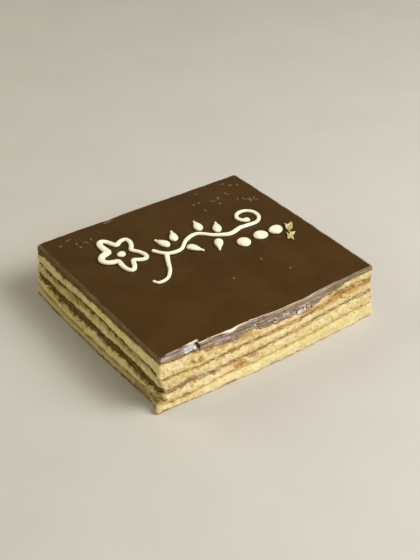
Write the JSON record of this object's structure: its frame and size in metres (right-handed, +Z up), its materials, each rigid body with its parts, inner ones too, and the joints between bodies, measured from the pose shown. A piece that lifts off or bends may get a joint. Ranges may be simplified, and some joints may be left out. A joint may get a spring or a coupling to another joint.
{
  "type": "square opera cake",
  "caption": "Whole square layer cake: almond sponges with coffee cream and ganache, dark chocolate glaze, white piped flower, vine and drops, gold leaf.",
  "frame": {"origin": "centre of the cake's box, on the surface it stands on", "axes": "+Z up, +X along the longer side, the lit front side faces -Y"},
  "size_m": [0.1623, 0.1511, 0.0399],
  "materials": {
    "almond_sponge": "open, dry crumb",
    "coffee_cream": "soft satin cream",
    "ganache": "soft satin ganache",
    "chocolate_cream": "soft satin cream, smeared by the knife",
    "dark_glaze": "smooth satin gloss",
    "white_chocolate": "smooth set chocolate",
    "gold_leaf": "crumpled bright leaf"
  },
  "bodies": {
    "root": {"sponge_bottom": "almond_sponge", "coffee_cream_lower": "coffee_cream", "sponge_lower": "almond_sponge", "ganache_middle": "ganache", "sponge_upper": "almond_sponge", "coffee_cream_upper": "coffee_cream", "sponge_top": "almond_sponge", "chocolate_cream_top": "chocolate_cream", "chocolate_glaze": "dark_glaze", "piped_flower": "white_chocolate", "piped_flower_centre": "white_chocolate", "piped_vine": "white_chocolate", "piped_leaf_1": "white_chocolate", "piped_leaf_2": "white_chocolate", "piped_leaf_3": "white_chocolate", "piped_leaf_4": "white_chocolate", "piped_leaf_5": "white_chocolate", "piped_leaf_6": "white_chocolate", "piped_drop_1": "white_chocolate", "piped_drop_2": "white_chocolate", "piped_drop_3": "white_chocolate", "gold_flake_1": "gold_leaf", "gold_flake_2": "gold_leaf"}
  },
  "joints": []
}
